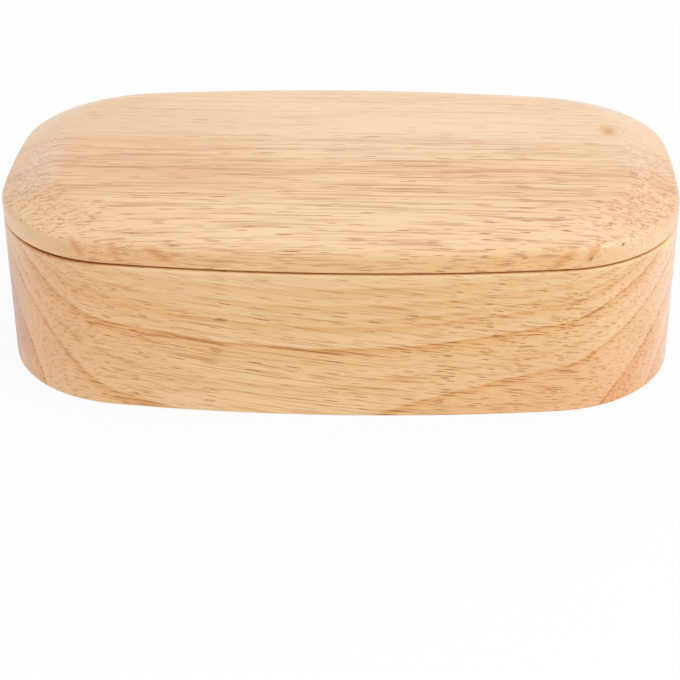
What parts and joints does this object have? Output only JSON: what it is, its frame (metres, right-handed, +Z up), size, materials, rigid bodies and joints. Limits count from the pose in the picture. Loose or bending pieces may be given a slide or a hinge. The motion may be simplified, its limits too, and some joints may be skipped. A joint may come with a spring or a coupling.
{
  "type": "bento box",
  "caption": "Rounded oblong wooden lunch box: a hollowed body with bowed walls, a bevelled lift-off lid with a seal ring, and a removable divider.",
  "frame": {"origin": "middle of the flat base, on the surface that the box stands on", "axes": "+X along the box's length, +Y from front to back, +Z up out of the box"},
  "size_m": [0.22, 0.13, 0.0639],
  "materials": {
    "body_wood": "sanded and oiled, satin",
    "lid_wood": "sanded and oiled, satin",
    "seal_silicone": "moulded silicone, matte",
    "divider_wood": "sanded and oiled, satin"
  },
  "bodies": {
    "box": {"box_body": "body_wood"},
    "lid": {"lid": "lid_wood", "lid_seal": "seal_silicone"},
    "divider": {"divider": "divider_wood"}
  },
  "joints": [
    {"name": "lid_lift", "type": "slide", "parent": "box", "child": "lid", "axis": [0, 0, 1], "range_m": [0, 0.12]},
    {"name": "divider_lift", "type": "slide", "parent": "box", "child": "divider", "axis": [0, 0, 1], "range_m": [0, 0.06]}
  ],
  "couplings": [
    {"joint": "divider_lift", "follows": "lid_lift", "ratio": 0.5}
  ]
}
